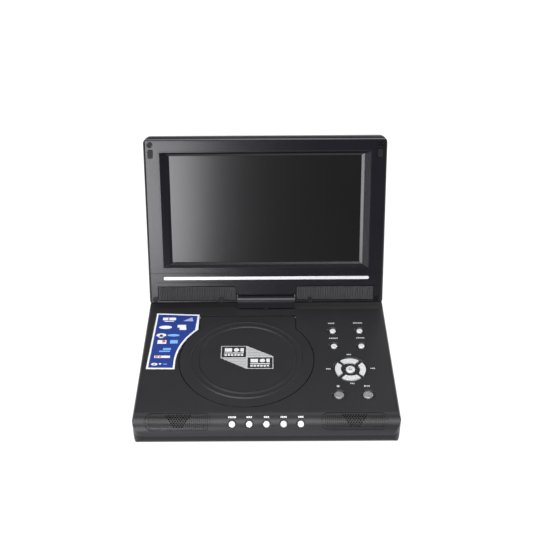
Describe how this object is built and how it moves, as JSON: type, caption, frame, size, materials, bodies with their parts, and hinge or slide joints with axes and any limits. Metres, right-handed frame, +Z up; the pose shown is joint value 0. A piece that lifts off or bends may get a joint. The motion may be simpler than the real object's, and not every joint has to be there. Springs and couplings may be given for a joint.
{
  "type": "portable dvd player",
  "caption": "Clamshell portable disc player with a round disc lid, a key field, front keys and a wide screen on a swivelling hinge block.",
  "frame": {"origin": "middle of the base's footprint, on the surface it stands on", "axes": "+Z up, -Y out of the front keys towards the user, +X to the user's right"},
  "size_m": [0.253, 0.2405, 0.2054],
  "materials": {
    "case_black": "fine-textured moulded ABS",
    "screen_black": "fine-textured moulded ABS",
    "grille_black": "perforated moulded panel",
    "rubber_black": "soft rubber",
    "screw_steel": "zinc-plated",
    "screw_black": "black oxide",
    "drive_plastic": "moulded",
    "motor_can": "turned",
    "lens_glass": "coated glass",
    "circuit_board": "solder-masked board",
    "battery_wrap": "shrink wrap",
    "speaker_body": "speaker frame and magnet",
    "jack_black": "moulded",
    "port_steel": "nickel-plated",
    "badge_print": "printed foil",
    "sticker_print": "printed vinyl",
    "trim_silver": "silver",
    "lcd_glass": "anti-glare panel, switched off",
    "key_silver": "silver paint",
    "key_grey": "grey metallic paint",
    "switch_grey": "moulded"
  },
  "bodies": {
    "root": {"base_top_cover": "case_black", "base_bottom_cover": "case_black", "rubber_feet": "rubber_black", "base_screws": "screw_steel", "disc_tray": "drive_plastic", "drive_chassis": "screw_steel", "drive_dampers": "rubber_black", "spindle_motor": "motor_can", "sled_motor": "motor_can", "guide_rods": "screw_steel", "main_board": "circuit_board", "battery_pack": "battery_wrap", "battery_door": "case_black", "base_speakers": "speaker_body", "base_grilles": "grille_black", "key_board": "circuit_board", "front_key_board": "circuit_board", "jack_panel": "case_black", "headphone_jack": "jack_black", "av_jack": "jack_black", "dc_jack": "jack_black", "usb_port": "port_steel", "card_slot": "port_steel", "feature_sticker": "sticker_print"},
    "lid": {"disc_lid": "case_black", "lid_badge": "badge_print", "lid_hinge_pins": "screw_steel"},
    "turret": {"turret": "screen_black", "turret_washer": "screw_steel", "tilt_shafts": "screw_steel"},
    "screen": {"screen_bezel": "screen_black", "screen_fascia": "screen_black", "screen_back_cover": "screen_black", "lcd_panel": "lcd_glass", "lcd_driver_board": "circuit_board", "trim_strip": "trim_silver", "screen_grilles": "screen_black", "screen_screws": "screw_black", "screen_bumpers": "rubber_black"},
    "disc_turntable": {"turntable": "drive_plastic"},
    "laser_sled": {"laser_sled": "drive_plastic", "laser_lens": "lens_glass"},
    "lead_screw": {"lead_screw": "screw_steel"},
    "power_switch": {"power_switch": "switch_grey"},
    "key_top_left": {"key_top_left": "key_silver"},
    "key_top_right": {"key_top_right": "key_silver"},
    "key_low_left": {"key_low_left": "key_silver"},
    "key_low_right": {"key_low_right": "key_silver"},
    "key_right": {"key_right": "key_silver"},
    "key_up": {"key_up": "key_silver"},
    "key_left": {"key_left": "key_silver"},
    "key_down": {"key_down": "key_silver"},
    "stop_key": {"stop_key": "key_grey"},
    "play_key": {"play_key": "key_grey"},
    "ok_key": {"ok_key": "key_silver"},
    "front_key_1": {"front_key_1": "key_silver"},
    "front_key_2": {"front_key_2": "key_silver"},
    "front_key_3": {"front_key_3": "key_silver"},
    "front_key_4": {"front_key_4": "key_silver"},
    "front_key_5": {"front_key_5": "key_silver"}
  },
  "joints": [
    {"name": "turret_swivel", "type": "hinge", "parent": "root", "child": "turret", "pos_m": [0, 0.081, 0.03], "axis": [0, 0, 1], "range_deg": [-180, 0]},
    {"name": "screen_tilt", "type": "hinge", "parent": "turret", "child": "screen", "pos_m": [0, 0.081, 0.0375], "axis": [-1, 0, 0], "range_deg": [-110, 70]},
    {"name": "lid_hinge", "type": "hinge", "parent": "root", "child": "lid", "pos_m": [0, 0.062, 0.0287], "axis": [-1, 0, 0], "range_deg": [0, 80]},
    {"name": "turntable_spin", "type": "hinge", "parent": "root", "child": "disc_turntable", "pos_m": [-0.02, -0.0034, 0.0195], "axis": [0, 0, 1], "continuous": true},
    {"name": "sled_slide", "type": "slide", "parent": "root", "child": "laser_sled", "axis": [0, -1, 0], "range_m": [-0.006, 0.027]},
    {"name": "lead_screw_turn", "type": "hinge", "parent": "root", "child": "lead_screw", "pos_m": [0.001, -0.0034, 0.0125], "axis": [0, -1, 0], "range_deg": [-730, 3250]},
    {"name": "power_slide", "type": "slide", "parent": "root", "child": "power_switch", "axis": [0, 1, 0], "range_m": [0, 0.0035]},
    {"name": "key_top_left_press", "type": "slide", "parent": "root", "child": "key_top_left", "axis": [0, 0, -1], "range_m": [0, 0.0008], "stiffness_N_per_m": 700},
    {"name": "key_top_right_press", "type": "slide", "parent": "root", "child": "key_top_right", "axis": [0, 0, -1], "range_m": [0, 0.0008], "stiffness_N_per_m": 700},
    {"name": "key_low_left_press", "type": "slide", "parent": "root", "child": "key_low_left", "axis": [0, 0, -1], "range_m": [0, 0.0008], "stiffness_N_per_m": 700},
    {"name": "key_low_right_press", "type": "slide", "parent": "root", "child": "key_low_right", "axis": [0, 0, -1], "range_m": [0, 0.0008], "stiffness_N_per_m": 700},
    {"name": "key_right_press", "type": "slide", "parent": "root", "child": "key_right", "axis": [0, 0, -1], "range_m": [0, 0.0008], "stiffness_N_per_m": 700},
    {"name": "key_up_press", "type": "slide", "parent": "root", "child": "key_up", "axis": [0, 0, -1], "range_m": [0, 0.0008], "stiffness_N_per_m": 700},
    {"name": "key_left_press", "type": "slide", "parent": "root", "child": "key_left", "axis": [0, 0, -1], "range_m": [0, 0.0008], "stiffness_N_per_m": 700},
    {"name": "key_down_press", "type": "slide", "parent": "root", "child": "key_down", "axis": [0, 0, -1], "range_m": [0, 0.0008], "stiffness_N_per_m": 700},
    {"name": "stop_key_press", "type": "slide", "parent": "root", "child": "stop_key", "axis": [0, 0, -1], "range_m": [0, 0.0008], "stiffness_N_per_m": 700},
    {"name": "play_key_press", "type": "slide", "parent": "root", "child": "play_key", "axis": [0, 0, -1], "range_m": [0, 0.0008], "stiffness_N_per_m": 700},
    {"name": "ok_key_press", "type": "slide", "parent": "root", "child": "ok_key", "axis": [0, 0, -1], "range_m": [0, 0.0008], "stiffness_N_per_m": 700},
    {"name": "front_key_1_press", "type": "slide", "parent": "root", "child": "front_key_1", "axis": [0, 0.7071, -0.7071], "range_m": [0, 0.0007], "stiffness_N_per_m": 700},
    {"name": "front_key_2_press", "type": "slide", "parent": "root", "child": "front_key_2", "axis": [0, 0.7071, -0.7071], "range_m": [0, 0.0007], "stiffness_N_per_m": 700},
    {"name": "front_key_3_press", "type": "slide", "parent": "root", "child": "front_key_3", "axis": [0, 0.7071, -0.7071], "range_m": [0, 0.0007], "stiffness_N_per_m": 700},
    {"name": "front_key_4_press", "type": "slide", "parent": "root", "child": "front_key_4", "axis": [0, 0.7071, -0.7071], "range_m": [0, 0.0007], "stiffness_N_per_m": 700},
    {"name": "front_key_5_press", "type": "slide", "parent": "root", "child": "front_key_5", "axis": [0, 0.7071, -0.7071], "range_m": [0, 0.0007], "stiffness_N_per_m": 700}
  ],
  "couplings": [
    {"joint": "lead_screw_turn", "follows": "sled_slide", "rad_per_m": 2094.4}
  ]
}
